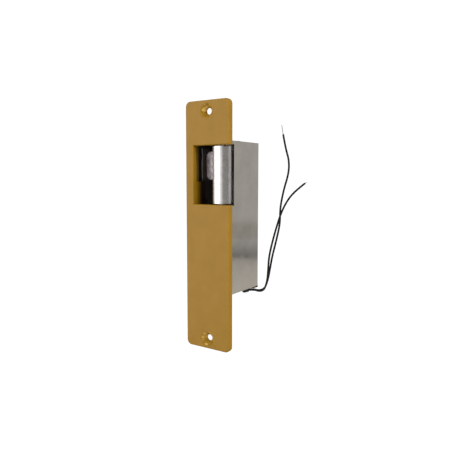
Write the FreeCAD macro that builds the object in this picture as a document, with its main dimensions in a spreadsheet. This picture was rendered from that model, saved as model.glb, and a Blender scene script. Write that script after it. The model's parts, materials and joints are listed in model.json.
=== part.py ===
"""Electric door strike for a mortised frame: faceplate, case, swinging keeper, lock lever,
hinged armature and coil.

Frame: origin at the centre of the faceplate's front face, +X to the lip side (where the faceplate
is open), +Y back into the frame, +Z up along the faceplate. Millimetres.
"""
import FreeCAD, Part
import Sketcher
import math
import os
import re

SIZES = {
    # faceplate and its screw holes
    "plate_width": 31.75,
    "plate_height": 149.2,
    "plate_thick": 3.2,
    "plate_corner": 3.2,
    "plate_rim": 0.8,
    "hole_spacing": 136.5,
    "hole_radius": 1.9,
    "sink_depth": 2.35,
    # the opening, open to the lip side
    "notch_left": 10.2,
    "notch_low": 13.5,
    "notch_high": 48.4,
    # rear tabs of the faceplate, which take the case screws
    "tab_reach": 12.0,
    "tab_upper_high": 27.0,
    "tab_lower_low": -34.0,
    "tab_lower_high": -22.0,
    # folded sheet case
    "case_left": 14.6,
    "case_right": 15.5,
    "case_depth": 31.0,
    "case_low": -39.6,
    "case_high": 50.8,
    "sheet": 1.2,
    "fold": 0.9,
    "wall_setback": 5.6,
    "bevel_reach": 2.0,
    "play": 0.1,
    "inner_back": 33.0,
    # keeper
    "pivot_x": 6.8,
    "pivot_y": 6.2,
    "nose_radius": 6.0,
    "latch_face": 3.2,
    "keeper_low": 13.9,
    "keeper_high": 48.0,
    "pocket_depth": 10.2,
    "tongue_left": -8.0,
    "tongue_thick": 2.0,
    "tongue_low": 28.0,
    "tongue_high": 45.5,
    "tongue_corner": 3.4,
    "tongue_rim": 0.6,
    "nose_rim": 0.5,
    "trunnion_radius": 2.0,
    "trunnion_low": 8.2,
    "pin_radius": 1.25,
    "running_fit": 0.04,
    # mechanism frame, cam and lock lever
    "floor_low": 11.6,
    "floor_high": 12.8,
    "shelf_low": -0.6,
    "shelf_high": 0.6,
    "cam_low": 8.4,
    "cam_high": 10.8,
    "cam_radius": 2.85,
    "cam_reach": 11.5,
    "cam_width": 3.2,
    "cam_angle": 128.0,
    "lever_x": -7.6,
    "lever_y": 26.4,
    "lever_hub": 3.0,
    "lever_reach": 18.2,
    "lever_width": 3.0,
    "lever_angle": -76.0,
    # coil, yoke and armature
    "coil_x": 0.4,
    "coil_y": 17.0,
    "core_radius": 3.5,
    "core_high": -9.0,
    "barrel_radius": 4.5,
    "winding_radius": 9.6,
    "wrap_radius": 10.0,
    "flange_radius": 11.3,
    "flange_thick": 1.2,
    "bobbin_low": -35.6,
    "bobbin_high": -10.0,
    "yoke_thick": 2.5,
    "yoke_low": -38.2,
    "yoke_high": -4.6,
    "ear_thick": 2.0,
    "yoke_left": -9.0,
    "yoke_right": 9.8,
    "hinge_y": 27.4,
    "hinge_z": -6.8,
    "hinge_pin": 1.0,
    "armature_thick": 1.6,
    # screws and their holes
    "screw_hole": 1.6,
    "thread_hole": 1.55,
    "case_screw_y": 7.8,
    "case_screw_high": 20.2,
    "case_screw_low": -28.0,
    "stop_screw_y": 16.5,
    "cap_screw_y": 19.5,
    "cap_screw_z": -34.6,
    "ceiling_screw_x": 10.6,
    "ceiling_screw_y": 14.6,
    "rivet_hole": 0.85,
    "rivet_radius": 0.8,
    "board": 1.0,
    "board_front": 29.0,
    # grommet and leads
    "grommet_x": 11.2,
    "grommet_y": 24.4,
    "nozzle_radius": 1.7,
    "nozzle_length": 2.6,
    "nozzle_z": -41.4,
    "lead_radius": 0.65,
    "strand_radius": 0.32,
    "lead_a_strip": 6.0,
    "lead_b_strip": 1.4,
}

# Route of each lead from the grommet's mouth to the end of its insulation (mm), chosen by hand.
LEAD_A_ROUTE = [
    (12.22, 26.885, -41.4), (14.5, 29.925, -41.4), (16.6, 33.2, -42.7), (18.4, 37.8, -42.2),
    (18.1, 42.5, -37.0), (18.1, 45.2, -30.1), (18.6, 47.0, -22.3), (20.3, 49.5, -11.5),
    (21.7, 51.8, -0.4), (21.1, 52.4, 8.8), (22.6, 54.3, 21.0), (25.0, 56.7, 32.1),
    (25.0, 57.1, 40.6), (23.0, 55.6, 48.7), (21.5, 55.0, 57.5),
]
LEAD_B_ROUTE = [
    (13.3, 26.075, -41.4), (15.58, 29.115, -41.4), (18.0, 31.8, -42.8), (19.3, 35.7, -42.3),
    (18.8, 40.2, -37.5), (18.3, 42.2, -30.9), (17.9, 43.8, -22.3), (19.1, 46.1, -12.5),
    (20.7, 48.3, -3.4), (22.4, 50.8, 5.4), (24.8, 54.6, 13.8), (28.4, 59.5, 20.6),
    (32.9, 64.9, 25.5),
]

# Wires from the coil's terminals to the grommet's collar (mm), chosen by hand.
INNER_LEAD_A = [
    (10.1, 10.4, -31.0), (11.6, 9.6, -31.2), (12.6, 10.6, -33.0), (13.1, 13.2, -35.4), (12.2, 24.0, -36.5),
    (12.2, 24.0, -37.8),
]
INNER_LEAD_B = [
    (8.1, 8.3, -32.4), (9.8, 7.0, -32.6), (11.4, 7.8, -34.6), (11.6, 11.6, -36.5), (10.7, 23.0, -36.5),
    (10.7, 23.0, -37.8),
]

RIVET_SPOTS = [(-11.2, 31.3), (11.8, 31.3)]
BACK_SCREW_SPOTS = [(-7.0, 45.0), (7.8, 45.0), (0.4, 6.0), (0.4, -16.0), (0.4, -28.0)]
STOP_SCREW_HEIGHTS = (33.0, 43.0)
SPRING_CORNERS = 10

doc = FreeCAD.newDocument("door_strike")
finished = []


def write_sheet():
    """Put every driving dimension in the spreadsheet, with its name as the alias."""
    sheet = doc.addObject("Spreadsheet::Sheet", "Dimensions")
    for row, (alias, number) in enumerate(SIZES.items(), start=1):
        sheet.set(f"A{row}", alias)
        sheet.set(f"B{row}", str(number))
        sheet.setAlias(f"B{row}", alias)
    doc.recompute()


def formula(text):
    """The sheet's expression for a sum such as "plate_thick + sheet"."""
    def cell(word):
        return f"Dimensions.{word.group(0)}" if word.group(0) in SIZES else word.group(0)
    return re.sub(r"[a-z_]+", cell, text)


def amount(text):
    """The number of a sum of sizes, in which a size may be doubled or divided, as in "-hole_spacing / 2"."""
    total = 0.0
    for term in text.replace(" ", "").replace("-", "+-").split("+"):
        if term:
            total += term_amount(term)
    return total


def term_amount(term):
    """The number of one term: a size or a number, with at most one factor or divisor after it."""
    sign = -1.0 if term.startswith("-") else 1.0
    word, _, divisor = term.lstrip("-").partition("/")
    word, _, factor = word.partition("*")
    number = SIZES[word] if word in SIZES else float(word)
    return sign * number * (float(factor) if factor else 1.0) / (float(divisor) if divisor else 1.0)


def keep(node, label):
    """Name a finished sub-part and put it on the list that is exported."""
    node.Label = label
    finished.append(node)
    return node


# ---- PartDesign helpers

def new_body(name):
    return doc.addObject("PartDesign::Body", name + "_body")


def plane_sketch(body, role, lift):
    """An empty sketch on one of the body's origin planes, lifted along the plane's normal."""
    sketch = body.newObject("Sketcher::SketchObject", body.Name + "_sketch")
    plane = [item for item in body.Origin.OriginFeatures if item.Role == role][0]
    sketch.AttachmentSupport = (plane, [""])
    sketch.MapMode = "FlatFace"
    if lift:
        sketch.setExpression(".AttachmentOffset.Base.z", formula(lift))
    return sketch


def tie(sketch, kind, element, point, text, name):
    """Hold one coordinate of a point, or a radius, at an amount from the sheet."""
    if kind == "Radius":
        index = sketch.addConstraint(Sketcher.Constraint("Radius", element, amount(text)))
    else:
        index = sketch.addConstraint(Sketcher.Constraint(kind, -1, 1, element, point, amount(text)))
    sketch.renameConstraint(index, name)
    sketch.setExpression(f"Constraints.{name}", formula(text))


def outline(body, role, corners, lift=None):
    """A closed polygon whose corners are tied to the sheet."""
    sketch = plane_sketch(body, role, lift)
    points = [FreeCAD.Vector(amount(across), amount(along), 0) for across, along in corners]
    for start, end in zip(points, points[1:] + points[:1]):
        sketch.addGeometry(Part.LineSegment(start, end), False)
    for index in range(len(points)):
        following = (index + 1) % len(points)
        sketch.addConstraint(Sketcher.Constraint("Coincident", index, 2, following, 1))
    for index, (across, along) in enumerate(corners):
        tie(sketch, "DistanceX", index, 1, across, f"across_{index}")
        tie(sketch, "DistanceY", index, 1, along, f"along_{index}")
    return sketch


def rectangle(body, role, across, along, lift=None):
    low, high = along
    left, right = across
    return outline(body, role, [(left, low), (right, low), (right, high), (left, high)], lift)


def circles(body, role, centres, radius, lift=None):
    """Circles of one radius, with centres tied to the sheet."""
    sketch = plane_sketch(body, role, lift)
    for index, (across, along) in enumerate(centres):
        centre = FreeCAD.Vector(amount(across), amount(along), 0)
        sketch.addGeometry(Part.Circle(centre, FreeCAD.Vector(0, 0, 1), amount(radius)), False)
        tie(sketch, "Radius", index, 0, radius, f"radius_{index}")
        tie(sketch, "DistanceX", index, 3, across, f"across_{index}")
        tie(sketch, "DistanceY", index, 3, along, f"along_{index}")
    return sketch


def pad(body, sketch, length, reverse=False):
    feature = body.newObject("PartDesign::Pad", body.Name + "_pad")
    feature.Profile = sketch
    feature.setExpression("Length", formula(length))
    feature.Reversed = reverse
    doc.recompute()
    return feature


def pocket(body, sketch, length, reverse=False):
    """Cut a pocket and stop if it removed nothing."""
    before = body.Tip.Shape.Volume
    feature = body.newObject("PartDesign::Pocket", body.Name + "_pocket")
    feature.Profile = sketch
    feature.setExpression("Length", formula(length))
    feature.Reversed = reverse
    doc.recompute()
    if feature.Shape.Volume >= before - 1e-6:
        raise RuntimeError(f"{body.Name}: a pocket cut nothing")
    return feature


def dress(body, kind, size_name, size, wanted):
    """Fillet or chamfer the edges of the body's tip for which wanted(edge) is true."""
    base = body.Tip
    names = [f"Edge{number}" for number, edge in enumerate(base.Shape.Edges, start=1) if wanted(edge)]
    feature = body.newObject("PartDesign::" + kind, body.Name + "_" + kind.lower())
    feature.Base = (base, names)
    feature.setExpression(size_name, formula(size))
    doc.recompute()
    return feature


# ---- Part helpers

def block(name, x, y, z):
    """A box between low and high amounts along each axis."""
    box = doc.addObject("Part::Box", name)
    for side, (low, high) in zip(("Length", "Width", "Height"), (x, y, z)):
        box.setExpression(side, formula(f"({high}) - ({low})"))
    for axis, (low, _high) in zip("xyz", (x, y, z)):
        box.setExpression(f".Placement.Base.{axis}", formula(low))
    return box


TURNS = {
    "+z": FreeCAD.Rotation(),
    "-z": FreeCAD.Rotation(FreeCAD.Vector(1, 0, 0), 180),
    "+x": FreeCAD.Rotation(FreeCAD.Vector(0, 1, 0), 90),
    "-x": FreeCAD.Rotation(FreeCAD.Vector(0, 1, 0), -90),
    "+y": FreeCAD.Rotation(FreeCAD.Vector(1, 0, 0), -90),
    "-y": FreeCAD.Rotation(FreeCAD.Vector(1, 0, 0), 90),
}


def place(node, x, y, z, way):
    node.Placement = FreeCAD.Placement(FreeCAD.Vector(0, 0, 0), TURNS[way])
    for axis, text in zip("xyz", (x, y, z)):
        node.setExpression(f".Placement.Base.{axis}", formula(text))
    return node


def rod(name, radius, length, x, y, z, way="+z"):
    cylinder = doc.addObject("Part::Cylinder", name)
    cylinder.setExpression("Radius", formula(radius))
    cylinder.setExpression("Height", formula(length))
    return place(cylinder, x, y, z, way)


def fuse(name, pieces):
    union = doc.addObject("Part::MultiFuse", name)
    union.Shapes = pieces
    union.Refine = True
    return union


def cut(name, base, tools):
    result = doc.addObject("Part::Cut", name)
    result.Base = base
    result.Tool = tools[0] if len(tools) == 1 else fuse(name + "_tools", tools)
    result.Refine = True
    return result


def arm(name, x, y, angle, reach, width, low, high):
    """A flat bar from a pivot out along an angle of the XY plane, with a round end."""
    turn = f"({angle}) * 1deg"
    bar = doc.addObject("Part::Box", name + "_bar")
    bar.setExpression("Length", formula(reach))
    bar.setExpression("Width", formula(width))
    bar.setExpression("Height", formula(f"({high}) - ({low})"))
    bar.Placement = FreeCAD.Placement(FreeCAD.Vector(0, 0, 0), FreeCAD.Rotation(amount(angle), 0, 0))
    bar.setExpression(".Placement.Rotation.Angle", formula(f"abs({angle})"))
    bar.setExpression(".Placement.Base.x", formula(f"{x} + {width} / 2 * sin({turn})"))
    bar.setExpression(".Placement.Base.y", formula(f"{y} - {width} / 2 * cos({turn})"))
    bar.setExpression(".Placement.Base.z", formula(low))
    end_x = f"{x} + ({reach}) * cos({turn})"
    end_y = f"{y} + ({reach}) * sin({turn})"
    tip = rod(name + "_tip", f"{width} / 2", f"({high}) - ({low})", end_x, end_y, low)
    return [bar, tip]


def solid_feature(name, shape, placement=FreeCAD.Placement()):
    """A sub-part whose shape has no primitive: screws, a spring or a lead."""
    feature = doc.addObject("Part::Feature", name)
    feature.Shape = shape
    feature.Placement = placement
    return feature


def as_text(spots):
    """Number pairs as text, the form that sketches and primitives take."""
    return [(str(across), str(along)) for across, along in spots]


def screws(name, spots, way, head_radius, head_height, shank_radius, shank_length):
    """Slotted pan-head screws, each a solid of its own; a spot is the point under the head."""
    slot_width = head_radius * 0.28
    slot_depth = head_height * 0.55
    made = []
    for index, (x, y, z) in enumerate(spots):
        head = Part.makeCylinder(head_radius, head_height)
        rim = [edge for edge in head.Edges if edge.Vertexes[0].Z > head_height / 2 and edge.Closed]
        head = head.makeFillet(head_height * 0.35, rim)
        slot = Part.makeBox(3 * head_radius, slot_width, slot_depth)
        slot.translate(FreeCAD.Vector(-1.5 * head_radius, -slot_width / 2, head_height - slot_depth))
        shank = Part.makeCylinder(shank_radius, shank_length)
        shank.translate(FreeCAD.Vector(0, 0, -shank_length))
        shape = head.cut(slot).fuse(shank).removeSplitter()
        shape.Placement = FreeCAD.Placement(FreeCAD.Vector(x, y, z), TURNS[way])
        made.append(shape)
    return keep(solid_feature(name + "_solids", Part.makeCompound(made)), name)


# ---- cords

def rounded_path(points):
    """Straight runs joined by tangent arcs; returns the wire and the arcs' radii."""
    vectors = [FreeCAD.Vector(*point) for point in points]
    edges = []
    radii = []
    last = vectors[0]
    for before, corner, after in zip(vectors, vectors[1:], vectors[2:]):
        arrive = (corner - before).normalize()
        leave = (after - corner).normalize()
        half_turn = arrive.getAngle(leave) / 2
        setback = 0.45 * min((corner - before).Length, (after - corner).Length)
        radius = setback / math.tan(half_turn)
        start = corner - arrive * setback
        end = corner + leave * setback
        towards = (leave - arrive).normalize()
        middle = corner + towards * (radius / math.cos(half_turn) - radius)
        edges.append(Part.LineSegment(last, start).toShape())
        edges.append(Part.Arc(start, middle, end).toShape())
        radii.append(radius)
        last = end
    edges.append(Part.LineSegment(last, vectors[-1]).toShape())
    return Part.Wire(edges), radii


def tube(points, radius):
    """A round tube along the rounded path; prints its volume against section times length."""
    wire, radii = rounded_path(points)
    way = FreeCAD.Vector(*points[1]) - FreeCAD.Vector(*points[0])
    profile = Part.Wire(Part.makeCircle(radius, FreeCAD.Vector(*points[0]), way))
    shape = wire.makePipeShell([profile], True, False)
    expected = math.pi * radius ** 2 * wire.Length
    print(f"  length {wire.Length:.1f} mm, smallest radius {min(radii):.1f} mm, "
          f"volume {shape.Volume / expected:.4f} of section times length")
    return shape


def torsion_spring(name, radius, wire, turns, spacing, centre, way, spin, legs):
    """One wire: a straight leg, coils round a pin, and a second straight leg."""
    low_leg, high_leg = legs
    corners = int(turns * SPRING_CORNERS)
    points = [(radius, -low_leg, 0.0)]
    for corner in range(corners + 1):
        angle = 2 * math.pi * corner / SPRING_CORNERS
        points.append((radius * math.cos(angle), radius * math.sin(angle), spacing * corner / SPRING_CORNERS))
    end_angle = 2 * math.pi * corners / SPRING_CORNERS
    last_x, last_y, last_z = points[-1]
    points.append((last_x - high_leg * math.sin(end_angle), last_y + high_leg * math.cos(end_angle), last_z))
    print(name)
    turn = TURNS[way].multiply(FreeCAD.Rotation(FreeCAD.Vector(0, 0, 1), spin))
    placement = FreeCAD.Placement(FreeCAD.Vector(*centre), turn)
    return keep(solid_feature(name + "_wire", tube(points, wire / 2), placement), name)


def lead(name, route):
    """One insulated lead and its stripped, tinned end, straight on from the insulation."""
    print(name)
    keep(solid_feature(name + "_tube", tube(route, SIZES["lead_radius"])), name)
    end = FreeCAD.Vector(*route[-1])
    way = end - FreeCAD.Vector(*route[-2])
    strands = Part.makeCylinder(SIZES["strand_radius"], SIZES[name + "_strip"], end, way)
    keep(solid_feature(name + "_strands", strands), name + "_tip")


# ---- sub-parts

def faceplate():
    body = new_body("faceplate")
    half_width = "plate_width / 2"
    half_height = "plate_height / 2"
    corners = [
        ("-" + half_width, "-" + half_height), (half_width, "-" + half_height),
        (half_width, "notch_low"), ("-notch_left", "notch_low"),
        ("-notch_left", "notch_high"), (half_width, "notch_high"),
        (half_width, half_height), ("-" + half_width, half_height),
    ]
    pad(body, outline(body, "XZ_Plane", corners), "plate_thick", reverse=True)

    def outer_corner(edge):
        across, _along, up = edge.CenterOfMass
        at_side = abs(abs(across) - amount(half_width)) < 0.01
        return at_side and abs(abs(up) - amount(half_height)) < 0.01
    dress(body, "Fillet", "Radius", "plate_corner", outer_corner)
    centres = [("0", "hole_spacing / 2"), ("0", "-hole_spacing / 2")]
    pocket(body, circles(body, "XZ_Plane", centres, "hole_radius"), "plate_thick")

    def front_rim(edge):
        return edge.Closed and abs(edge.CenterOfMass.y) < 0.01
    dress(body, "Chamfer", "Size", "sink_depth", front_rim)

    def front_border(edge):
        circle = edge.Closed
        return not circle and abs(edge.BoundBox.YMax) < 0.01
    dress(body, "Fillet", "Radius", "plate_rim", front_border)
    tab_sides = ("-case_left + sheet", "-notch_left")
    tabs = [
        ("notch_low", "tab_upper_high", "case_screw_high"),
        ("tab_lower_low", "tab_lower_high", "case_screw_low"),
    ]
    for low, high, screw_z in tabs:
        pad(body, rectangle(body, "XZ_Plane", tab_sides, (low, high)), "tab_reach", reverse=True)
        screw_hole = circles(body, "YZ_Plane", [("case_screw_y", screw_z)], "thread_hole", "-case_left")
        pocket(body, screw_hole, "case_left - notch_left - 0.6", reverse=True)
    return keep(body, "faceplate")


def case():
    body = new_body("case")
    front = "plate_thick"
    back = "plate_thick + case_depth"
    inner_back = "inner_back"
    corners = [
        ("-case_left", front), ("-case_left + sheet", front), ("-case_left + sheet", inner_back),
        ("case_right - sheet", inner_back), ("case_right - sheet", front), ("case_right", front),
        ("case_right", back), ("-case_left", back),
    ]
    pad(body, outline(body, "XY_Plane", corners, "case_low"), "case_high - case_low")

    def rear_fold(edge):
        upright = abs(edge.Vertexes[0].X - edge.Vertexes[-1].X) < 0.01 and edge.BoundBox.ZLength > 10
        return upright and abs(edge.CenterOfMass.y - amount(back)) < 0.01
    dress(body, "Fillet", "Radius", "fold", rear_fold)
    clear_front = "plate_thick - 0.5"
    inner_face = "case_right - sheet"
    setback = outline(body, "XY_Plane", [
        (inner_face + " - 0.5", clear_front), ("case_right + 0.5", clear_front),
        ("case_right + 0.5", "wall_setback"),
        ("case_right", "wall_setback"), (inner_face, "wall_setback + bevel_reach"),
        (inner_face + " - 0.5", "wall_setback + bevel_reach"),
    ], "notch_low - 0.4")
    pocket(body, setback, "notch_high - notch_low + 0.8", reverse=True)
    left_spots = [("case_screw_y", "case_screw_high"), ("case_screw_y", "case_screw_low"),
                  ("cap_screw_y", "cap_screw_z")]
    left_spots += [("stop_screw_y", str(height)) for height in STOP_SCREW_HEIGHTS]
    left_holes = circles(body, "YZ_Plane", left_spots, "screw_hole", "-case_left - 0.5")
    pocket(body, left_holes, "sheet + 1", reverse=True)
    rear_holes = circles(body, "XZ_Plane", as_text(BACK_SCREW_SPOTS), "screw_hole",
                         "-plate_thick - case_depth - 0.5")
    pocket(body, rear_holes, "sheet + 1", reverse=True)
    return keep(body, "case")


def end_plate(name, plate_low, flange, openings):
    """An end plate of the case, with one flange given by its x, y and z limits; openings are (x, y, radius)."""
    body = new_body(name)
    sides = ("-case_left + sheet + play", "case_right - sheet - play")
    plate = rectangle(body, "XY_Plane", sides, ("plate_thick + play", "inner_back - play"), plate_low)
    pad(body, plate, "sheet")
    across, along, (low, high) = flange
    pad(body, rectangle(body, "XY_Plane", across, along, low), f"{high} - ({low})")
    for x, y, radius in openings:
        opening = circles(body, "XY_Plane", [(x, y)], radius, f"{plate_low} - 0.5")
        pocket(body, opening, "sheet + 1", reverse=True)
    return body


def case_ends():
    rear_flange = (("-case_left + sheet + play", "case_right - sheet - play"),
                   ("inner_back - play - sheet", "inner_back - play"), ("40.5", "case_high - sheet"))
    top = end_plate("top_cap", "case_high - sheet", rear_flange,
                    [("pivot_x", "pivot_y", "pin_radius + running_fit"),
                     ("ceiling_screw_x", "ceiling_screw_y", "thread_hole")])
    drill_back(top, BACK_SCREW_SPOTS[:2])
    keep(top, "top_cap")
    left_flange = (("-case_left + sheet + play", "-case_left + sheet * 2 + play"), ("14", "25"),
                   ("case_low", "-31"))
    openings = [("grommet_x", "grommet_y", "nozzle_radius + 0.5")]
    openings += [(x, y, "rivet_hole") for x, y in as_text(RIVET_SPOTS)]
    bottom = end_plate("bottom_cap", "case_low", left_flange, openings)
    flange_hole = circles(bottom, "YZ_Plane", [("cap_screw_y", "cap_screw_z")], "thread_hole", "-case_left")
    pocket(bottom, flange_hole, "sheet * 2 + 1", reverse=True)
    keep(bottom, "bottom_cap")


def drill_back(body, spots):
    """Holes through a flange that lies against the back wall of the case."""
    sketch = circles(body, "XZ_Plane", as_text(spots), "thread_hole", "-plate_thick - case_depth")
    pocket(body, sketch, "sheet * 2 + 1", reverse=True)


def fibre_plate():
    """Black insulating board under the rear of the case, with its two rivets."""
    across = ("-case_left + 0.3", "case_right - 0.1")
    along = ("board_front", "plate_thick + case_depth - 0.2")
    board = block("fibre_board", across, along, ("case_low - board", "case_low"))
    bores = []
    rivets = []
    for index, (x, y) in enumerate(as_text(RIVET_SPOTS)):
        bores.append(rod(f"fibre_bore_{index}", "rivet_hole", "board + 2", x, y, "case_low - board - 1"))
        shank = rod(f"rivet_shank_{index}", "rivet_radius", "sheet + board", x, y, "case_low - board")
        low_head = rod(f"rivet_low_{index}", "rivet_radius * 2", "0.5", x, y, "case_low - board - 0.5")
        high_head = rod(f"rivet_high_{index}", "rivet_radius * 2 - 0.1", "0.4", x, y, "case_low + sheet")
        rivets.append(fuse(f"rivet_{index}", [shank, low_head, high_head]))
    keep(cut("fibre_cut", board, bores), "fibre_plate")
    group = doc.addObject("Part::Compound", "rivet_group")
    group.Links = rivets
    keep(group, "fibre_rivets")


def grommet():
    """Rubber elbow that turns the leads from the bottom of the case towards its rear corner."""
    x, y = "grommet_x", "grommet_y"
    stem = rod("grommet_stem", "nozzle_radius + 0.45", "sheet + 0.8", x, y, "case_low - 0.3")
    throat = rod("grommet_throat", "nozzle_radius", "-0.3 + case_low - nozzle_z", x, y, "nozzle_z")
    collar = rod("grommet_collar", "nozzle_radius + 1.3", "0.6", x, y, "case_low + sheet")
    knee = doc.addObject("Part::Sphere", "grommet_knee")
    knee.setExpression("Radius", formula("nozzle_radius"))
    place(knee, x, y, "nozzle_z", "+z")
    nozzle = doc.addObject("Part::Cone", "grommet_nozzle")
    nozzle.setExpression("Radius1", formula("nozzle_radius"))
    nozzle.setExpression("Radius2", formula("nozzle_radius - 0.35"))
    nozzle.setExpression("Height", formula("nozzle_length"))
    mouth_way = FreeCAD.Rotation(FreeCAD.Vector(0, 0, 1), FreeCAD.Vector(0.6, 0.8, 0))
    nozzle.Placement = FreeCAD.Placement(FreeCAD.Vector(0, 0, 0), mouth_way)
    for axis, text in zip("xyz", (x, y, "nozzle_z")):
        nozzle.setExpression(f".Placement.Base.{axis}", formula(text))
    keep(fuse("grommet_rubber", [stem, throat, collar, knee, nozzle]), "grommet")


def keeper():
    """Cast keeper: half-round nose, flat latch face, pocket tongue and lower trunnion."""
    nose = rod("nose_round", "nose_radius", "keeper_high - keeper_low", "pivot_x", "pivot_y", "keeper_low")
    web = block("keeper_web", ("latch_face", "pivot_x"), ("pivot_y", "pocket_depth + tongue_thick"),
                ("keeper_low", "keeper_high"))
    clip = block("nose_clip", ("pivot_x - 8", "latch_face"), ("pivot_y - 8", "pivot_y + 8"),
                 ("keeper_low - 1", "keeper_high + 1"))
    body = cut("nose_flat", fuse("nose_and_web", [nose, web]), [clip])
    doc.recompute()
    latch_back = amount("pocket_depth + tongue_thick")
    ends = []
    for number, edge in enumerate(body.Shape.Edges, start=1):
        level = edge.BoundBox.ZLength < 0.01
        behind = edge.BoundBox.YMin > latch_back - 0.1
        if level and not behind:
            ends.append(number)
    rounded = doc.addObject("Part::Fillet", "nose_rounded")
    rounded.Base = body
    rounded.Edges = [(number, amount("nose_rim"), amount("nose_rim")) for number in ends]
    doc.recompute()
    tongue = tongue_body()
    trunnion = rod("trunnion", "trunnion_radius", "keeper_low - trunnion_low + 1", "pivot_x", "pivot_y",
                   "trunnion_low")
    bore = rod("keeper_bore", "pin_radius + running_fit", "keeper_high - trunnion_low + 2", "pivot_x",
               "pivot_y", "trunnion_low - 1")
    whole = fuse("keeper_casting", [rounded, tongue, trunnion])
    keep(cut("keeper_bored", whole, [bore]), "keeper")


def tongue_body():
    """The pocket's rear tongue, with round corners on its free side."""
    body = new_body("tongue")
    sketch = rectangle(body, "XZ_Plane", ("tongue_left", "latch_face + 1"), ("tongue_low", "tongue_high"),
                       "-pocket_depth")
    pad(body, sketch, "tongue_thick", reverse=True)

    def free_corner(edge):
        return edge.BoundBox.YLength > 1 and abs(edge.CenterOfMass.x - amount("tongue_left")) < 0.01
    dress(body, "Fillet", "Radius", "tongue_corner", free_corner)

    def front_rim(edge):
        in_front = edge.BoundBox.YMax < amount("pocket_depth") + 0.01
        return in_front and edge.CenterOfMass.x < amount("latch_face")
    dress(body, "Fillet", "Radius", "tongue_rim", front_rim)
    return body


def keeper_fittings():
    """Cam plate on the trunnion, fixed pin, thrust washer and clip."""
    ring = rod("cam_ring", "cam_radius", "cam_high - cam_low", "pivot_x", "pivot_y", "cam_low")
    cam_arm = arm("cam", "pivot_x", "pivot_y", "cam_angle", "cam_reach", "cam_width", "cam_low", "cam_high")
    seat = rod("cam_seat", "trunnion_radius + 0.02", "4", "pivot_x", "pivot_y", "cam_low - 0.5")
    keep(cut("cam_bored", fuse("cam_blank", [ring] + cam_arm), [seat]), "keeper_cam")
    shaft = rod("keeper_shaft", "pin_radius", "case_high - shelf_low + 0.2", "pivot_x", "pivot_y",
                "shelf_low - 0.6")
    head = rod("keeper_pin_head", "2.1", "0.5", "pivot_x", "pivot_y", "case_high")
    keep(fuse("keeper_pin_whole", [shaft, head]), "keeper_pin")
    washer("keeper_washer", "pivot_x", "pivot_y", "keeper_high + 0.1", "case_high - sheet - 0.1", "cam_radius",
           "pin_radius + running_fit")


def washer(name, x, y, low, high, outer, inner):
    ring = rod(name + "_ring", outer, f"{high} - ({low})", x, y, low)
    hole = rod(name + "_hole", inner, f"{high} - ({low}) + 1", x, y, f"{low} - 0.5")
    return keep(cut(name + "_cut", ring, [hole]), name)


def mechanism_frame():
    """Folded steel frame: floor under the opening, back, and lower shelf."""
    body = new_body("frame")
    back = "inner_back"
    front = "plate_thick + play"
    inner = back + " - play - sheet"
    corners = [
        (front, "shelf_low"), (back + " - play", "shelf_low"), (back + " - play", "floor_high"),
        (front, "floor_high"), (front, "floor_low"), (inner, "floor_low"), (inner, "shelf_high"),
        (front, "shelf_high"),
    ]
    profile = outline(body, "YZ_Plane", corners, "-case_left + sheet + play")
    pad(body, profile, "case_left + case_right - sheet * 2 - play * 2")
    bores = [
        ("pivot_x", "pivot_y", "trunnion_radius + running_fit", "floor_low - 0.5"),
        ("pivot_x", "pivot_y", "pin_radius + running_fit", "shelf_low - 0.5"),
        ("lever_x", "lever_y", "pin_radius + running_fit", "floor_low - 0.5"),
        ("lever_x", "lever_y", "pin_radius + running_fit", "shelf_low - 0.5"),
    ]
    for x, y, radius, low in bores:
        pocket(body, circles(body, "XY_Plane", [(x, y)], radius, low), "sheet + 1", reverse=True)
    tab_slot = rectangle(body, "XY_Plane", ("-9.4", "-5.9"), ("5", "14"), "shelf_low - 0.5")
    pocket(body, tab_slot, "sheet + 1", reverse=True)
    drill_back(body, BACK_SCREW_SPOTS[2:3])
    keep(body, "mechanism_frame")


def lock_lever():
    hub = rod("lever_hub", "lever_hub", "cam_high - cam_low", "lever_x", "lever_y", "cam_low")
    lever_arm = arm("lever", "lever_x", "lever_y", "lever_angle", "lever_reach", "lever_width", "cam_low",
                    "cam_high")
    bore = rod("lever_bore", "pin_radius + running_fit", "4", "lever_x", "lever_y", "cam_low - 0.5")
    keep(cut("lever_bored", fuse("lever_blank", [hub] + lever_arm), [bore]), "lock_lever")
    keep(rod("lever_shaft", "pin_radius", "floor_high - shelf_low + 1.2", "lever_x", "lever_y",
             "shelf_low - 0.6"), "lever_pin")


def yoke():
    """Angle-shaped iron yoke with two ears for the armature's pin."""
    body = new_body("yoke")
    back = "inner_back - play"
    front = "8.8"
    corners = [
        (front, "yoke_low"), (back, "yoke_low"), (back, "yoke_high"), (back + " - yoke_thick", "yoke_high"),
        (back + " - yoke_thick", "yoke_low + yoke_thick"), (front, "yoke_low + yoke_thick"),
    ]
    pad(body, outline(body, "YZ_Plane", corners, "yoke_left"), "yoke_right - yoke_left")
    for left in ("yoke_left", "yoke_right - ear_thick"):
        along = ("hinge_y - 2.2", back + " - 1")
        ear = rectangle(body, "YZ_Plane", along, ("hinge_z - 2.4", "yoke_high"), left)
        pad(body, ear, "ear_thick")
    pin_bore = circles(body, "YZ_Plane", [("hinge_y", "hinge_z")], "hinge_pin", "yoke_left - 0.5")
    pocket(body, pin_bore, "yoke_right - yoke_left + 1", reverse=True)
    for x, y, radius in (("coil_x", "coil_y", "core_radius"), ("grommet_x", "grommet_y", "nozzle_radius * 2")):
        opening = circles(body, "XY_Plane", [(x, y)], radius, "yoke_low - 0.5")
        pocket(body, opening, "yoke_thick + 1", reverse=True)
    drill_back(body, BACK_SCREW_SPOTS[3:])
    keep(body, "yoke")


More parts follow.
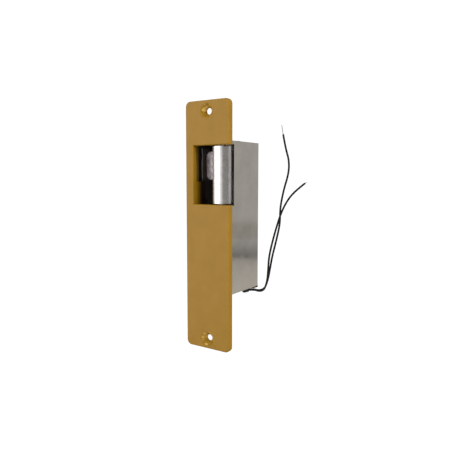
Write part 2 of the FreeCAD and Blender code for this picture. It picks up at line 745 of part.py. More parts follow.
def core():
    """Iron core pressed in the yoke, with a thin brass shim on its face."""
    keep(rod("core_rod", "core_radius", "core_high - yoke_low", "coil_x", "coil_y", "yoke_low"), "core")
    keep(rod("shim_disc", "core_radius - 0.3", "0.15", "coil_x", "coil_y", "core_high"), "core_shim")


def coil():
    """Bobbin on the core, its winding, and the tape round the winding."""
    barrel = rod("bobbin_barrel", "barrel_radius", "bobbin_high - bobbin_low", "coil_x", "coil_y", "bobbin_low")
    flanges = [rod(f"bobbin_flange_{index}", "flange_radius", "flange_thick", "coil_x", "coil_y", low)
               for index, low in enumerate(("bobbin_low", "bobbin_high - flange_thick"))]
    hollow = rod("bobbin_hollow", "core_radius + 0.1", "bobbin_high - bobbin_low + 2", "coil_x", "coil_y",
                 "bobbin_low - 1")
    keep(cut("bobbin_bored", fuse("bobbin_blank", [barrel] + flanges), [hollow]), "bobbin")
    low = "bobbin_low + flange_thick + 0.1"
    high = "bobbin_high - flange_thick - 0.1"
    washer("winding", "coil_x", "coil_y", low, high, "winding_radius", "barrel_radius + 0.05")
    washer("coil_wrap", "coil_x", "coil_y", low, high, "wrap_radius", "winding_radius + 0.05")


def armature():
    """Flat armature hinged on the yoke, with a knuckle and an upright tab beside the lever."""
    top = "hinge_z + armature_thick / 2"
    low = "hinge_z - armature_thick / 2"
    plate = block("armature_plate", ("-8.4", "9.2"), ("7.4", "hinge_y - 3"), (low, top))
    neck = block("armature_neck", ("-2.4", "7.2"), ("hinge_y - 4", "hinge_y"), (low, top))
    knuckle = rod("armature_knuckle", "1.9", "9.6", "-2.4", "hinge_y", "hinge_z", "+x")
    tab = block("armature_tab", ("-8.4", "-6.8"), ("7.4", "12.6"), (low, "cam_low + 0.3"))
    bore = rod("armature_bore", "hinge_pin + running_fit", "14", "-5", "hinge_y", "hinge_z", "+x")
    keep(cut("armature_bored", fuse("armature_blank", [plate, neck, knuckle, tab]), [bore]), "armature")
    keep(rod("armature_shaft", "hinge_pin", "yoke_right - yoke_left + 1", "yoke_left - 0.5", "hinge_y",
             "hinge_z", "+x"), "armature_pin")


def latch_stop():
    """Steel stop plate and black buffer strip on the left wall of the pocket."""
    inner_wall = "-case_left + sheet"
    low = "tongue_low"
    high = "notch_high - 0.8"
    plate = block("latch_stop_plate", (inner_wall, inner_wall + " + 1.1"), ("12", "20.5"), (low, high))
    left = inner_wall + " - 1"
    bores = [rod(f"stop_hole_{index}", "thread_hole", "4", left, "stop_screw_y", str(height), "+x")
             for index, height in enumerate(STOP_SCREW_HEIGHTS)]
    keep(cut("latch_stop_cut", plate, bores), "latch_stop")
    strip = block("buffer_strip", (inner_wall, inner_wall + " + 0.9"), ("10.8", "11.95"), (low, high))
    keep(strip, "latch_buffer")


def keeper_stop():
    stop = block("stop_block", ("4.6", "14"), ("pocket_depth + tongue_thick + 0.3", "17.6"), ("44.4", "49.5"))
    bore = rod("stop_bore", "thread_hole - 0.05", "7", "ceiling_screw_x", "ceiling_screw_y", "43.5")
    keep(cut("stop_bored", stop, [bore]), "keeper_stop")


def fasteners():
    left = -amount("case_left")
    back = amount("plate_thick + case_depth")
    case_y = amount("case_screw_y")
    case_spots = [(left, case_y, amount("case_screw_high")), (left, case_y, amount("case_screw_low"))]
    cap_spots = [(left, amount("cap_screw_y"), amount("cap_screw_z"))]
    stop_spots = [(left, amount("stop_screw_y"), height) for height in STOP_SCREW_HEIGHTS]
    back_spots = [(x, back, z) for x, z in BACK_SCREW_SPOTS]
    ceiling_spots = [(amount("ceiling_screw_x"), amount("ceiling_screw_y"), amount("case_high"))]
    screws("case_screws", case_spots, "-x", 2.4, 1.2, 1.5, 3.6)
    screws("cap_screw", cap_spots, "-x", 2.4, 1.2, 1.5, 2.6)
    screws("stop_plate_screws", stop_spots, "-x", 2.4, 1.2, 1.5, 2.4)
    screws("back_screws", back_spots, "+y", 2.4, 1.2, 1.5, 2.6)
    screws("stop_screw", ceiling_spots, "+z", 3.0, 0.4, 1.45, 5.5)


def springs():
    """Return springs of the keeper and the lever, and the spring that lifts the armature."""
    pivot = (amount("pivot_x"), amount("pivot_y"), 1.4)
    torsion_spring("keeper_spring", 2.3, 0.6, 5.5, 0.95, pivot, "+z", 180, (5.0, 5.0))
    lever = (amount("lever_x"), amount("lever_y"), 1.4)
    torsion_spring("lever_spring", 2.2, 0.6, 5.5, 0.95, lever, "+z", 0, (4.0, 4.0))
    hinge = (-6.3, amount("hinge_y"), amount("hinge_z"))
    torsion_spring("armature_spring", 1.5, 0.4, 5.0, 0.6, hinge, "+x", 0, (4.0, 1.9))


def coil_connections():
    """Terminal pins in the lower bobbin flange, and the wires from them to the grommet."""
    pins = []
    for index, angle in enumerate((-34, -50)):
        x = amount("coil_x") + 10.75 * math.cos(math.radians(angle))
        y = amount("coil_y") + 10.75 * math.sin(math.radians(angle))
        pins.append(rod(f"terminal_pin_{index}", "0.4", "5.2", str(x), str(y), "bobbin_low + flange_thick"))
    group = doc.addObject("Part::Compound", "terminal_group")
    group.Links = pins
    keep(group, "terminals")
    print("inner leads")
    wires = [tube(route, 0.45) for route in (INNER_LEAD_A, INNER_LEAD_B)]
    keep(solid_feature("inner_tubes", Part.makeCompound(wires)), "inner_leads")


def check_and_export():
    """Stop on any failed object or bad shape, then write one STEP file per sub-part."""
    doc.recompute()
    for item in doc.Objects:
        if "Invalid" in item.State or "Error" in item.State:
            raise RuntimeError(f"{item.Label} is {item.State}")
    for node in finished:
        if node.Shape.isNull() or not node.Shape.isValid():
            raise RuntimeError(f"{node.Label} has a bad shape")
    os.makedirs("parts", exist_ok=True)
    for node in finished:
        node.Shape.exportStep(f"parts/{node.Label}.step")
    print(f"{len(finished)} sub-parts written")


def main():
    write_sheet()
    faceplate()
    case()
    case_ends()
    fibre_plate()
    grommet()
    keeper()
    keeper_fittings()
    mechanism_frame()
    lock_lever()
    yoke()
    core()
    coil()
    armature()
    latch_stop()
    keeper_stop()
    fasteners()
    springs()
    coil_connections()
    lead("lead_a", LEAD_A_ROUTE)
    lead("lead_b", LEAD_B_ROUTE)
    check_and_export()


if __name__ == "__main__":
    main()
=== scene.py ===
"""Looks of the electric door strike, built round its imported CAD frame. Metres, +Z up, +Y back."""
import json
import math

import bmesh
import bpy
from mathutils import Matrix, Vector


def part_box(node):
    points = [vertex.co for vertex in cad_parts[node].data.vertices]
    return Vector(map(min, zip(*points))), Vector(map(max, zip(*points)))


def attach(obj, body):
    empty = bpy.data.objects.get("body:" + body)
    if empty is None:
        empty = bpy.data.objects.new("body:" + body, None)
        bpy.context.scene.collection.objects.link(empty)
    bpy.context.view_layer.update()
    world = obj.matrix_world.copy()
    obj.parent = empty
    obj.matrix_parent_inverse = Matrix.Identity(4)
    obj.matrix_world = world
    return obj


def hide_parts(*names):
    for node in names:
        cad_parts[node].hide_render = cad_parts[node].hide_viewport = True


MM = 0.001

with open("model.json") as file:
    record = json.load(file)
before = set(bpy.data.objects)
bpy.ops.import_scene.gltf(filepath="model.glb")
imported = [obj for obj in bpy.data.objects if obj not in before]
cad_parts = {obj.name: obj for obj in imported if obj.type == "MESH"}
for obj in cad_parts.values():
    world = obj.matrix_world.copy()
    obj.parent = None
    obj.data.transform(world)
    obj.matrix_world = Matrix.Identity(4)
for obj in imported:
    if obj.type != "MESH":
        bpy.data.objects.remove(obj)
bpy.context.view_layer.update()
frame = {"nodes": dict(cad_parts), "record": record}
nodes = frame["nodes"]


# ---- camera

CAMERA_PLACE = (0.17208, -0.23474, 0.03039)
CAMERA_YAW = 34.14
CAMERA_DIP = 5.70
CAMERA_LENS = 39.22
CAMERA_SENSOR = 36.0


def add_camera():
    """The scene's camera, in front of the strike and to its right."""
    data = bpy.data.cameras.new("camera")
    data.lens = CAMERA_LENS
    data.sensor_width = CAMERA_SENSOR
    data.clip_start = 0.01
    camera = bpy.data.objects.new("camera", data)
    camera.location = CAMERA_PLACE
    camera.rotation_euler = (math.radians(90 - CAMERA_DIP), 0, math.radians(CAMERA_YAW))
    bpy.context.scene.collection.objects.link(camera)
    bpy.context.scene.camera = camera


add_camera()
bpy.context.scene.view_settings.view_transform = "Standard"


# ---- cords: the same routes as in the CAD, in metres

LEAD_RADIUS = 0.65 * MM
LEAD_ROUTES = {
    "lead_a": [
        (0.01222, 0.026885, -0.0414), (0.0145, 0.029925, -0.0414), (0.0166, 0.0332, -0.0427),
        (0.0184, 0.0378, -0.0422), (0.0181, 0.0425, -0.037), (0.0181, 0.0452, -0.0301),
        (0.0186, 0.047, -0.0223), (0.0203, 0.0495, -0.0115), (0.0217, 0.0518, -0.0004),
        (0.0211, 0.0524, 0.0088), (0.0226, 0.0543, 0.021), (0.025, 0.0567, 0.0321),
        (0.025, 0.0571, 0.0406), (0.023, 0.0556, 0.0487), (0.0215, 0.055, 0.0575),
    ],
    "lead_b": [
        (0.0133, 0.026075, -0.0414), (0.01558, 0.029115, -0.0414), (0.018, 0.0318, -0.0428),
        (0.0193, 0.0357, -0.0423), (0.0188, 0.0402, -0.0375), (0.0183, 0.0422, -0.0309),
        (0.0179, 0.0438, -0.0223), (0.0191, 0.0461, -0.0125), (0.0207, 0.0483, -0.0034),
        (0.0224, 0.0508, 0.0054), (0.0248, 0.0546, 0.0138), (0.0284, 0.0595, 0.0206),
        (0.0329, 0.0649, 0.0255),
    ],
}
STRIP_LENGTHS = {"lead_a": 6.0 * MM, "lead_b": 1.4 * MM}
STRAND_RADIUS = 0.105 * MM
STRAND_SPACING = 0.205 * MM
OUTER_STRANDS = 6
STRAND_TURNS = 0.9
STRAND_STEPS = 16
HIDDEN_STRAND = 0.4 * MM


def link(piece):
    """Put a new piece in the scene, riding on the strike's body."""
    bpy.context.scene.collection.objects.link(piece)
    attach(piece, "strike_body")
    return piece


def mesh_piece(name, bm):
    """A smooth-shaded piece from a bmesh, with normals outwards."""
    bmesh.ops.recalc_face_normals(bm, faces=bm.faces)
    mesh = bpy.data.meshes.new(name)
    bm.to_mesh(mesh)
    bm.free()
    for face in mesh.polygons:
        face.use_smooth = True
    return link(bpy.data.objects.new(name, mesh))


def nurbs_curve(name, points, radius):
    """An open cord: one NURBS spline of order 3, with the route's points as its control points."""
    curve = bpy.data.curves.new(name, "CURVE")
    curve.dimensions = "3D"
    curve.bevel_depth = 1.0
    curve.bevel_resolution = 6
    curve.resolution_u = 16
    curve.use_fill_caps = True
    spline = curve.splines.new("NURBS")
    spline.points.add(len(points) - 1)
    for point, place in zip(spline.points, points):
        point.co = (*place, 1.0)
        point.radius = radius
    spline.order_u = 3
    spline.use_endpoint_u = True
    return bpy.data.objects.new(name, curve)


def tube_along(bm, path, radius, sides):
    """Add a closed round tube that follows a list of points."""
    rings = []
    side = Vector((0.37, -0.71, 0.6))    # any direction that isn't along the path
    for index, place in enumerate(path):
        before = path[max(index - 1, 0)]
        after = path[min(index + 1, len(path) - 1)]
        way = (after - before).normalized()
        across = (side - way * side.dot(way)).normalized()
        side = across
        up = way.cross(across)
        ring = []
        for step in range(sides):
            angle = 2 * math.pi * step / sides
            offset = (across * math.cos(angle) + up * math.sin(angle)) * radius
            ring.append(bm.verts.new(place + offset))
        rings.append(ring)
    for low, high in zip(rings, rings[1:]):
        for step in range(sides):
            following = (step + 1) % sides
            bm.faces.new((low[step], low[following], high[following], high[step]))
    bm.faces.new(list(reversed(rings[0])))
    bm.faces.new(rings[-1])


def stranded_tip(name, route, length):
    """Twisted, tinned strands: six round one, starting just inside the insulation."""
    start = Vector(route[-1])
    way = (start - Vector(route[-2])).normalized()
    across = way.orthogonal().normalized()
    up = way.cross(across)
    bm = bmesh.new()
    for number in range(OUTER_STRANDS + 1):
        out = STRAND_SPACING if number else 0.0
        path = []
        for step in range(STRAND_STEPS + 1):
            along = -HIDDEN_STRAND + (length + HIDDEN_STRAND) * step / STRAND_STEPS
            angle = 2 * math.pi * (number / OUTER_STRANDS + STRAND_TURNS * step / STRAND_STEPS)
            path.append(start + way * along + (across * math.cos(angle) + up * math.sin(angle)) * out)
        tube_along(bm, path, STRAND_RADIUS, sides=8)
    return mesh_piece(name, bm)


def add_cords():
    """Both leads with their stripped ends, by the name of the CAD node that each replaces."""
    made = {}
    for name, route in LEAD_ROUTES.items():
        tip = stranded_tip(name + "_strands", route, STRIP_LENGTHS[name])
        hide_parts(name + "_tip")
        cord = link(nurbs_curve(name + "_insulation", route, LEAD_RADIUS))
        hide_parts(name)
        cord.visible_glossy = False
        made[name] = cord
        made[name + "_tip"] = tip
    return made


cords = add_cords()


# ---- materials: sizes in millimetres

LINE_FADE = 0.5                 # how soft the edge of a near_line mask is


class Shader:
    """Builds one procedural material round a Principled shader, with object-space coordinates."""

    def __init__(self, name, colour, roughness, metallic=0.0):
        self.material = bpy.data.materials.new(name)
        self.material.use_nodes = True
        self.tree = self.material.node_tree
        self.shader = self.tree.nodes["Principled BSDF"]
        self.shader.inputs["Base Color"].default_value = (*colour, 1)
        self.shader.inputs["Roughness"].default_value = roughness
        self.shader.inputs["Metallic"].default_value = metallic
        self.place = self.node("ShaderNodeTexCoord").outputs["Object"]
        self.normal = None

    def node(self, kind, **settings):
        """A new node of the material, with its settings."""
        made = self.tree.nodes.new(kind)
        for key, value in settings.items():
            setattr(made, key, value)
        return made

    def wire(self, source, target):
        """Join an output to an input."""
        self.tree.links.new(source, target)

    def stretched(self, scale):
        """The coordinates scaled differently along each axis, for grain that runs one way."""
        mapping = self.node("ShaderNodeMapping")
        mapping.inputs["Scale"].default_value = scale
        self.wire(self.place, mapping.inputs["Vector"])
        return mapping.outputs["Vector"]

    def noise(self, size, detail=3.0, roughness=0.5, stretch=(1, 1, 1)):
        """Noise whose features are about size millimetres across."""
        texture = self.node("ShaderNodeTexNoise")
        texture.inputs["Scale"].default_value = 1.0 / (size * MM)
        texture.inputs["Detail"].default_value = detail
        texture.inputs["Roughness"].default_value = roughness
        vector = self.place if stretch == (1, 1, 1) else self.stretched(stretch)
        self.wire(vector, texture.inputs["Vector"])
        return texture.outputs["Fac"]

    def spread(self, value, low, high, from_low=0.3, from_high=0.7):
        """Map a texture's middle range to low..high."""
        ranged = self.node("ShaderNodeMapRange")
        ranged.inputs["From Min"].default_value = from_low
        ranged.inputs["From Max"].default_value = from_high
        ranged.inputs["To Min"].default_value = low
        ranged.inputs["To Max"].default_value = high
        self.wire(value, ranged.inputs["Value"])
        return ranged.outputs["Result"]

    def along(self, axis):
        """One coordinate, in metres."""
        split = self.node("ShaderNodeSeparateXYZ")
        self.wire(self.place, split.inputs[0])
        return split.outputs[axis]

    def beyond(self, axis, limit, above=True):
        """1 where a coordinate is above (or below) a limit in millimetres, else 0."""
        compare = self.node("ShaderNodeMath", operation="GREATER_THAN" if above else "LESS_THAN")
        compare.inputs[1].default_value = limit * MM
        self.wire(self.along(axis), compare.inputs[0])
        return compare.outputs[0]

    def depth(self, near, far, at_near=0.0, at_far=1.0):
        """A value that changes with the distance behind the faceplate's front, limits in millimetres."""
        return self.spread(self.along("Y"), at_near, at_far, near * MM, far * MM)

    def near_line(self, across, up, reach):
        """1 within reach millimetres of a line along Y through (across, up), fading to 0 just outside."""
        shift = self.node("ShaderNodeVectorMath", operation="SUBTRACT")
        shift.inputs[1].default_value = (across * MM, 0, up * MM)
        self.wire(self.place, shift.inputs[0])
        flat = self.node("ShaderNodeVectorMath", operation="MULTIPLY")
        flat.inputs[1].default_value = (1, 0, 1)
        self.wire(shift.outputs["Vector"], flat.inputs[0])
        length = self.node("ShaderNodeVectorMath", operation="LENGTH")
        self.wire(flat.outputs["Vector"], length.inputs[0])
        return self.spread(length.outputs["Value"], 1.0, 0.0, reach * MM, (reach + LINE_FADE) * MM)

    def either(self, *masks):
        """The largest of several masks."""
        whole = masks[0]
        for mask in masks[1:]:
            largest = self.node("ShaderNodeMath", operation="MAXIMUM")
            self.wire(whole, largest.inputs[0])
            self.wire(mask, largest.inputs[1])
            whole = largest.outputs[0]
        return whole

    def both(self, first, second):
        """1 only where two masks are 1."""
        product = self.node("ShaderNodeMath", operation="MULTIPLY")
        self.wire(first, product.inputs[0])
        self.wire(second, product.inputs[1])
        return product.outputs[0]

    def choose(self, mask, off, on):
        """off where the mask is 0 and on where it is 1; each a socket or a number."""
        mix = self.node("ShaderNodeMix", data_type="FLOAT")
        self.wire(mask, mix.inputs["Factor"])
        for name, value in (("A", off), ("B", on)):
            if isinstance(value, (int, float)):
                mix.inputs[name].default_value = value
            else:
                self.wire(value, mix.inputs[name])
        return mix.outputs["Result"]

    def tint(self, value, dark, light):
        """Colour between dark and light by a value; each a colour or a socket."""
        ramp = self.node("ShaderNodeMix", data_type="RGBA")
        for name, shade in (("A", dark), ("B", light)):
            if isinstance(shade, tuple):
                ramp.inputs[name].default_value = (*shade, 1)
            else:
                self.wire(shade, ramp.inputs[name])
        self.wire(value, ramp.inputs["Factor"])
        return ramp.outputs["Result"]

    def colour(self, socket):
        """Take the shader's colour from a socket."""
        self.wire(socket, self.shader.inputs["Base Color"])

    def roughness(self, socket):
        """Take the shader's roughness from a socket."""
        self.wire(socket, self.shader.inputs["Roughness"])

    def bump(self, value, height, strength):
        """Raise the surface by a texture, height in millimetres; several bumps add up."""
        bump = self.node("ShaderNodeBump")
        bump.inputs["Strength"].default_value = strength
        bump.inputs["Distance"].default_value = height * MM
        self.wire(value, bump.inputs["Height"])
        if self.normal:
            self.wire(self.normal, bump.inputs["Normal"])
        self.normal = bump.outputs["Normal"]
        self.wire(self.normal, self.shader.inputs["Normal"])


SCREW_HEIGHT = 68.25
SINK_RADIUS = 4.2
PAINTED_SHADE_DEPTHS = (3.4, 8.5)          # painted shade darkens the coat between these depths


def gold_coat():
    """Gold powder coat: orange peel and clouding, glossier in the screw holes with painted glints there,
    darkened far inside with painted shade.
    """
    deep_gold = (0.226, 0.116, 0.004)
    pale_gold = (0.250, 0.130, 0.007)
    painted_glint_gold = (0.50, 0.31, 0.07)
    painted_shade_inside = (0.020, 0.010, 0.004)
    paint = Shader("gold_powder_coat", (0.23, 0.12, 0.007), 0.40)
    paint.shader.inputs["Specular IOR Level"].default_value = 0.25
    in_hole = paint.either(
        *(paint.near_line(0, height, SINK_RADIUS) for height in (SCREW_HEIGHT, -SCREW_HEIGHT)))
    cloud = paint.spread(paint.noise(9.0, detail=4.0), 0.0, 1.0)
    glint_specks = paint.spread(paint.noise(2.4, detail=1.0), 0.0, 1.0, 0.48, 0.66)
    coat = paint.tint(cloud, deep_gold, pale_gold)
    # painted glints: bright gold specks in the screw holes
    coat = paint.tint(paint.both(in_hole, glint_specks), coat, painted_glint_gold)
    # painted shade: the coat's colour fades to near black deeper behind the faceplate's front
    paint.colour(paint.tint(paint.depth(*PAINTED_SHADE_DEPTHS), coat, painted_shade_inside))
    matt = paint.spread(paint.noise(2.5, detail=5.0), 0.30, 0.46)
    paint.roughness(paint.choose(in_hole, matt, 0.24))
    paint.bump(paint.choose(in_hole, 0.0, paint.noise(2.4, detail=1.0)), height=0.8, strength=0.7)
    paint.bump(paint.noise(0.9, detail=2.0), height=0.05, strength=0.55)
    paint.bump(paint.noise(0.22, detail=2.0), height=0.012, strength=0.45)
    return paint.material


case_low, case_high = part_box("case")
CASE_LEFT = case_low[0] / MM
CASE_RIGHT = case_high[0] / MM
CASE_BACK = case_high[1] / MM
CASE_TOP = case_high[2] / MM
SKIN = 0.05                     # a face this near the case's limits is an outside face
FOLD = 0.9                      # width of the rough band at each rear bend
OVERSPRAY_DEPTH = 10.0          # where the overspray ends, behind the faceplate's front
OVERSPRAY_FADE = 0.6
OVERSPRAY_INSET = (1.0, 2.0)    # takes in the left wall's inner face


def satin_sheet():
    """Bright rolled steel: polished outside, matt and darkened with painted shade inside, with gold
    overspray by the opening.
    """
    overspray = (0.26, 0.14, 0.012)
    matt = 0.5
    steel = Shader("satin_sheet_steel", (0.60, 0.575, 0.535), 0.10, metallic=1.0)
    outside = steel.either(
        steel.beyond("X", CASE_RIGHT - SKIN), steel.beyond("X", CASE_LEFT + SKIN, above=False),
        steel.beyond("Y", CASE_BACK - SKIN), steel.beyond("Z", CASE_TOP - SKIN))
    bend = steel.both(steel.beyond("Y", CASE_BACK - FOLD), steel.either(
        steel.beyond("X", CASE_RIGHT - FOLD), steel.beyond("X", CASE_LEFT + FOLD, above=False)))
    inner, outer = OVERSPRAY_INSET
    sprayed = steel.both(
        steel.depth(OVERSPRAY_DEPTH - OVERSPRAY_FADE, OVERSPRAY_DEPTH, 1.0, 0.0),
        steel.both(steel.beyond("X", CASE_LEFT + outer, above=False), steel.beyond("X", CASE_LEFT + inner)))
    smudge = steel.spread(steel.noise(14.0, detail=5.0, roughness=0.6), 0.0, 1.0)
    bright = steel.tint(smudge, (0.55, 0.52, 0.475), (0.64, 0.61, 0.56))
    # painted shade: the case's inner faces are much darker than its outer faces
    painted_shade_steel = steel.tint(smudge, (0.17, 0.16, 0.15), (0.24, 0.23, 0.22))
    steel.colour(steel.tint(sprayed, steel.tint(outside, painted_shade_steel, bright), overspray))
    steel.wire(steel.choose(sprayed, 1.0, 0.0), steel.shader.inputs["Metallic"])
    polish = steel.spread(steel.noise(6.0, detail=6.0, roughness=0.65), 0.06, 0.13)
    steel.roughness(steel.choose(bend, steel.choose(outside, matt, polish), matt))
    steel.bump(steel.noise(0.12, detail=3.0, stretch=(1, 1, 0.03)), height=0.002, strength=0.4)
    steel.bump(steel.noise(11.0, detail=1.0), height=0.03, strength=0.06)
    return steel.material


TONGUE_FRONT = 10.21
RIM_HIGHLIGHT_DEPTH = 0.8                # depth of the painted highlight along the tongue's rim
RIM_HIGHLIGHT_FADE = 0.2
CAST_AND_SHADE_DEPTH = (8.5, 9.8)         # rougher bare casting, darkened with painted shade, takes over from the plating between these depths
CAST_AND_SHADE_RIGHT = 5.0                # only left of here
FLANK_DEPTH = (4.0, 5.8)        # the nose's flank turns dull between these depths
FLANK_LEFT = 10.0               # only right of here


def chrome_casting():
    """Plated casting: bright and slightly wavy at the front; behind the latch face rougher as cast and
    darkened with painted shade, with a painted highlight along the tongue's rim.
    """
    chrome = Shader("chrome_casting", (0.62, 0.60, 0.59), 0.2, metallic=1.0)
    stain = chrome.spread(chrome.noise(3.2, detail=6.0, roughness=0.65), 0.0, 1.0)
    plated = chrome.tint(stain, (0.56, 0.535, 0.53), (0.70, 0.69, 0.69))
    mottle = chrome.spread(chrome.noise(2.6, detail=5.0), 0.0, 1.0)
    # painted shade: a dark mottled colour in the pocket behind the latch face
    painted_pocket_light = chrome.tint(mottle, (0.15, 0.14, 0.15), (0.50, 0.48, 0.51))
    behind = chrome.both(chrome.depth(*CAST_AND_SHADE_DEPTH), chrome.beyond("X", CAST_AND_SHADE_RIGHT, above=False))
    rim_highlight_end = TONGUE_FRONT + RIM_HIGHLIGHT_DEPTH
    rim_highlight = chrome.both(chrome.depth(TONGUE_FRONT, TONGUE_FRONT + 0.1),
                      chrome.depth(rim_highlight_end - RIM_HIGHLIGHT_FADE, rim_highlight_end, 1.0, 0.0))
    # painted highlight: a pale pinkish band along the tongue's front rim
    painted_pocket_light = chrome.tint(rim_highlight, painted_pocket_light, (0.80, 0.74, 0.80))
    chrome.colour(chrome.tint(behind, plated, painted_pocket_light))
    polished = chrome.spread(chrome.noise(1.6, detail=3.0), 0.26, 0.31)
    flank = chrome.both(chrome.depth(*FLANK_DEPTH), chrome.beyond("X", FLANK_LEFT))
    chrome.roughness(chrome.choose(flank, chrome.choose(behind, polished, 0.36), 0.5))
    chrome.wire(chrome.spread(flank, 1.0, 0.50, 0.0, 1.0), chrome.shader.inputs["Metallic"])
    chrome.bump(chrome.noise(2.4, detail=3.0, roughness=0.5, stretch=(1, 1, 0.5)), height=0.02, strength=0.2)
    return chrome.material


def scaled(colour, factor):
    """A colour made lighter or darker."""
    return tuple(min(1.0, factor * part) for part in colour)


def turned_steel(name, colour, roughness, grain_axis):
    """Small steel parts, with fine tool marks running along one axis."""
    steel = Shader(name, colour, roughness, metallic=1.0)
    stretch = tuple(0.06 if axis == grain_axis else 1.0 for axis in "xyz")
    smudge = steel.spread(steel.noise(4.0, detail=4.0), 0.0, 1.0)
    steel.colour(steel.tint(smudge, scaled(colour, 0.88), scaled(colour, 1.08)))
    steel.roughness(steel.spread(steel.noise(1.5, detail=4.0), roughness - 0.06, roughness + 0.08))
    steel.bump(steel.noise(0.15, detail=2.0, stretch=stretch), height=0.006, strength=0.5)
    return steel.material


STOP_FRONT = 12.0               # depth of the stop plate's front edge


def stop_plate_steel():
    """Plated steel plate beside the tongue: darkened on its sides with painted shade, with a painted
    highlight on its front edge.
    """
    steel = Shader("stop_plate_painted_light", (0.85, 0.82, 0.82), 0.45)
    edge = steel.depth(STOP_FRONT + 0.05, STOP_FRONT + 0.2)
    scuff = steel.spread(steel.noise(1.5, detail=4.0), 0.0, 1.0)
    # painted shade on the plate's sides and painted highlight on its front edge
    side = steel.tint(scuff, (0.10, 0.075, 0.07), (0.16, 0.13, 0.125))
    bright = steel.tint(scuff, (0.80, 0.78, 0.80), (0.90, 0.88, 0.90))
    steel.colour(steel.tint(edge, bright, side))
    steel.roughness(steel.spread(steel.noise(2.0, detail=3.0), 0.38, 0.52))
    steel.bump(steel.noise(0.3, detail=3.0), height=0.01, strength=0.5)
    return steel.material


def plastic(name, colour, roughness, size, height, shine=0.5):
    """Moulded plastic, rubber, board or vinyl, with a surface of one grain size."""
    mould = Shader(name, colour, roughness)
    mould.shader.inputs["Specular IOR Level"].default_value = shine
    cloud = mould.spread(mould.noise(size * 6, detail=3.0), 0.0, 1.0)
    mould.colour(mould.tint(cloud, scaled(colour, 0.8), scaled(colour, 1.15)))
    mould.roughness(mould.spread(mould.noise(size * 3, detail=3.0), roughness - 0.07, roughness + 0.07))
    mould.bump(mould.noise(size, detail=3.0), height, strength=0.6)
    return mould.material


MATERIALS = {
    "gold_coat": gold_coat(),
    "bright_steel": satin_sheet(),
    "chrome_casting": chrome_casting(),
    "pin_steel": turned_steel("ground_steel", (0.56, 0.55, 0.53), 0.26, "z"),
    "spring_steel": turned_steel("spring_wire_steel", (0.36, 0.36, 0.37), 0.22, "x"),
    "coil_iron": turned_steel("zinc_plated_iron", (0.52, 0.54, 0.57), 0.34, "y"),
    "plated_screw": turned_steel("zinc_plated_screw", (0.62, 0.62, 0.60), 0.27, "y"),
    "black_screw": plastic("black_oxide", (0.008, 0.007, 0.010), 0.50, 0.3, 0.01),
    "brass": turned_steel("brass_shim", (0.70, 0.50, 0.20), 0.3, "x"),
    "white_nylon": plastic("natural_nylon", (0.72, 0.70, 0.62), 0.45, 0.4, 0.01),
    "copper_wire": turned_steel("enamelled_copper", (0.62, 0.22, 0.09), 0.22, "z"),
    "coil_tape": plastic("amber_film_tape", (0.50, 0.27, 0.03), 0.22, 0.5, 0.01),
    "tinned_copper": turned_steel("tinned_copper", (0.66, 0.64, 0.60), 0.3, "z"),
    "black_board": plastic("vulcanised_fibre", (0.010, 0.009, 0.009), 0.70, 0.25, 0.03),
    "black_rubber": plastic("moulded_rubber", (0.010, 0.010, 0.010), 0.58, 0.3, 0.02, shine=0.3),
    "black_vinyl": plastic("vinyl_insulation", (0.004, 0.004, 0.004), 0.45, 0.5, 0.01, shine=0.22),
}


def finish_with(piece, material):
    """Give a piece one material all over."""
    piece.data.materials.clear()
    piece.data.materials.append(material)


for subpart in frame["record"]["subparts"]:
    finish_with(nodes[subpart["node"]], MATERIALS[subpart["material_slot"]])
finish_with(nodes["latch_stop"], stop_plate_steel())
for name in LEAD_ROUTES:
    finish_with(cords[name], MATERIALS["black_vinyl"])
    finish_with(cords[name + "_tip"], MATERIALS["tinned_copper"])


# ---- studio

STRIKE = (0, 0.01, 0)           # what the lights point at
BACKDROP = 1.05                 # the white that the camera sees
ROOM_LIGHT = 0.50
ROOM_DIM = 0.27
DIM_SIDE = (0.94, -0.34, 0.0)   # direction of the room's dim side
DIM_START = 0.30                # cosine to that direction where the dimming starts
DIM_FULL = 0.95
FLOOR = -0.33
FLOOR_REACH = 3.0
GLOW_NEAR = 0.62
GLOW_FAR = 0.38
GLOW_START = 1.0                # distance at which the floor's glow starts to fade
GLOW_END = 2.6
CARD_LEFT = (0.05, 1.35)        # the dark strip's ends, seen from above
CARD_RIGHT = (1.15, 0.65)
CARD_LOW = -0.213
CARD_HIGH = -0.155
CARD_DARK = 0.16


def area_light(name, place, size, power, glossy=True):
    """A soft light aimed at the strike, unseen by the camera, and in no reflection if not glossy."""
    data = bpy.data.lights.new(name, "AREA")
    data.shape = "RECTANGLE"
    data.size, data.size_y = size
    data.energy = power
    light = bpy.data.objects.new(name, data)
    light.location = place
    light.rotation_euler = (Vector(STRIKE) - Vector(place)).to_track_quat("-Z", "Y").to_euler()
    light.visible_camera = False
    light.visible_glossy = glossy
    bpy.context.scene.collection.objects.link(light)


def flat_sheet(name, corners, material):
    """One flat face of the studio, which isn't part of the object."""
    mesh = bpy.data.meshes.new(name)
    mesh.from_pydata(corners, [], [tuple(range(len(corners)))])
    mesh.materials.append(material)
    sheet = bpy.data.objects.new(name, mesh)
    bpy.context.scene.collection.objects.link(sheet)
    return sheet


def camera_only(tree, plain, seen):
    """Mix two shaders so that the camera sees one directly and light and reflections use the other."""
    path = tree.nodes.new("ShaderNodeLightPath")
    mix = tree.nodes.new("ShaderNodeMixShader")
    tree.links.new(path.outputs["Is Camera Ray"], mix.inputs[0])
    tree.links.new(plain, mix.inputs[1])
    tree.links.new(seen, mix.inputs[2])
    return mix.outputs[0]


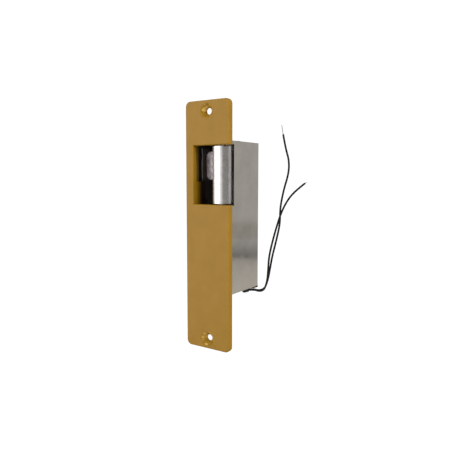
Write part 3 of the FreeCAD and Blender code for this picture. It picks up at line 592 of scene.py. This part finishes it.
def studio_world():
    """A pale room with a dim side to the right of the camera; the camera itself sees plain white."""
    world = bpy.data.worlds.new("studio")
    world.use_nodes = True
    tree = world.node_tree
    room = tree.nodes["Background"]
    room.inputs["Color"].default_value = (1, 0.98, 0.95, 1)
    direction = tree.nodes.new("ShaderNodeTexCoord").outputs["Generated"]
    side = tree.nodes.new("ShaderNodeVectorMath")
    side.operation = "DOT_PRODUCT"
    side.inputs[1].default_value = DIM_SIDE
    tree.links.new(direction, side.inputs[0])
    shade = tree.nodes.new("ShaderNodeMapRange")
    shade.interpolation_type = "SMOOTHSTEP"
    shade.inputs["From Min"].default_value = DIM_START
    shade.inputs["From Max"].default_value = DIM_FULL
    shade.inputs["To Min"].default_value = ROOM_LIGHT
    shade.inputs["To Max"].default_value = ROOM_DIM
    tree.links.new(side.outputs["Value"], shade.inputs["Value"])
    tree.links.new(shade.outputs["Result"], room.inputs["Strength"])
    white = tree.nodes.new("ShaderNodeBackground")
    white.inputs["Color"].default_value = (1, 1, 1, 1)
    white.inputs["Strength"].default_value = BACKDROP
    surface = camera_only(tree, room.outputs[0], white.outputs[0])
    tree.links.new(surface, tree.nodes["World Output"].inputs["Surface"])
    bpy.context.scene.world = world


def studio_floor():
    """A pale floor: plain white to the camera, and in reflections a soft glow that fades far away."""
    floor = Shader("studio_floor", (0.8, 0.8, 0.8), 0.8)
    length = floor.node("ShaderNodeVectorMath", operation="LENGTH")
    floor.wire(floor.place, length.inputs[0])
    fade = floor.spread(length.outputs["Value"], GLOW_NEAR, GLOW_FAR, GLOW_START, GLOW_END)
    glow = floor.node("ShaderNodeEmission")
    glow.inputs["Color"].default_value = (1.0, 0.97, 0.91, 1)
    floor.wire(fade, glow.inputs["Strength"])
    white = floor.node("ShaderNodeEmission")
    white.inputs["Strength"].default_value = BACKDROP
    surface = camera_only(floor.tree, glow.outputs[0], white.outputs[0])
    floor.wire(surface, floor.tree.nodes["Material Output"].inputs["Surface"])
    ways = [(-1, -1), (1, -1), (1, 1), (-1, 1)]
    corners = [(FLOOR_REACH * across, FLOOR_REACH * back, FLOOR) for across, back in ways]
    flat_sheet("floor", corners, floor.material)


def horizon_card():
    """A dark strip behind the strike, seen only as the line across the case's side."""
    card = Shader("horizon_card", (0.05, 0.05, 0.05), 0.9)
    fade = card.spread(card.along("Z"), CARD_DARK, ROOM_LIGHT, CARD_LOW, CARD_HIGH)
    glow = card.node("ShaderNodeEmission")
    card.wire(fade, glow.inputs["Strength"])
    card.wire(glow.outputs[0], card.tree.nodes["Material Output"].inputs["Surface"])
    low_edge = [(*CARD_LEFT, CARD_LOW), (*CARD_RIGHT, CARD_LOW)]
    high_edge = [(*CARD_RIGHT, CARD_HIGH), (*CARD_LEFT, CARD_HIGH)]
    sheet = flat_sheet("horizon_card", low_edge + high_edge, card.material)
    sheet.visible_camera = False
    sheet.visible_diffuse = False


studio_world()
studio_floor()
horizon_card()
area_light("left_panel", (-0.33, -0.53, 0.12), size=(0.80, 1.0), power=4.8)
area_light("front_strip", (0.19, -0.88, 0.10), size=(0.62, 1.0), power=1.2)
area_light("right_fill", (0.62, -0.13, 0.20), size=(0.4, 0.4), power=4.9, glossy=False)

bpy.context.view_layer.update()
